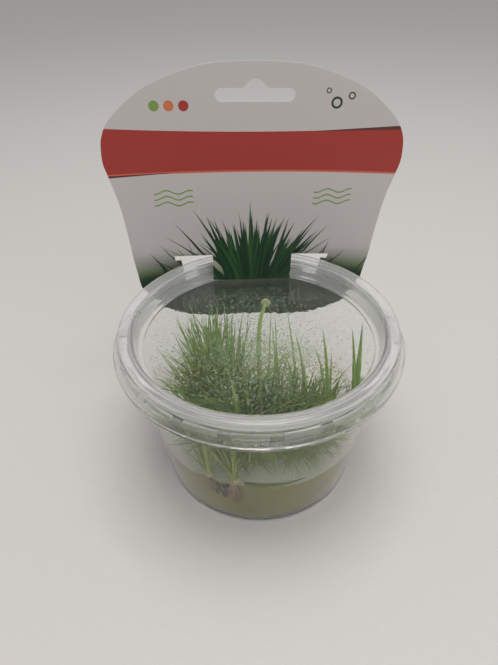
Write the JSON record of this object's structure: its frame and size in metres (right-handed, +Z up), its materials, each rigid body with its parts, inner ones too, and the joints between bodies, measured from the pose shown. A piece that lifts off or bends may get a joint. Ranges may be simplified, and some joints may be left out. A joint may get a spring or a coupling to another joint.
{
  "type": "aquarium plant culture cup",
  "caption": "Clear round cup with a pressed-on ring lid and a clipped hanging card, holding grass-like aquarium plants on a layer of gel.",
  "frame": {"origin": "centre of the cup's flat base", "axes": "+Z up, +Y towards the card at the back, +X to the right seen from the front"},
  "size_m": [0.1057, 0.1029, 0.139],
  "materials": {
    "clear_plastic": "clear, faintly milky, glossy",
    "printed_card": "printed sheet, smooth",
    "gel": "cloudy wet gel",
    "leaf": "thin wet leaves",
    "pale_leaf": "pale stem",
    "root": "pinkish brown roots"
  },
  "bodies": {
    "root": {"cup": "clear_plastic", "lid": "clear_plastic", "header_card": "printed_card", "gel": "gel", "flower_stem": "pale_leaf", "clump_left": "leaf", "clump_middle": "leaf", "plantlet_right": "leaf", "plantlet_edge": "leaf", "plantlet_front": "leaf", "plantlet_front_left": "leaf", "fallen_leaf": "leaf", "roots_front": "root", "roots_left": "root"}
  },
  "joints": []
}
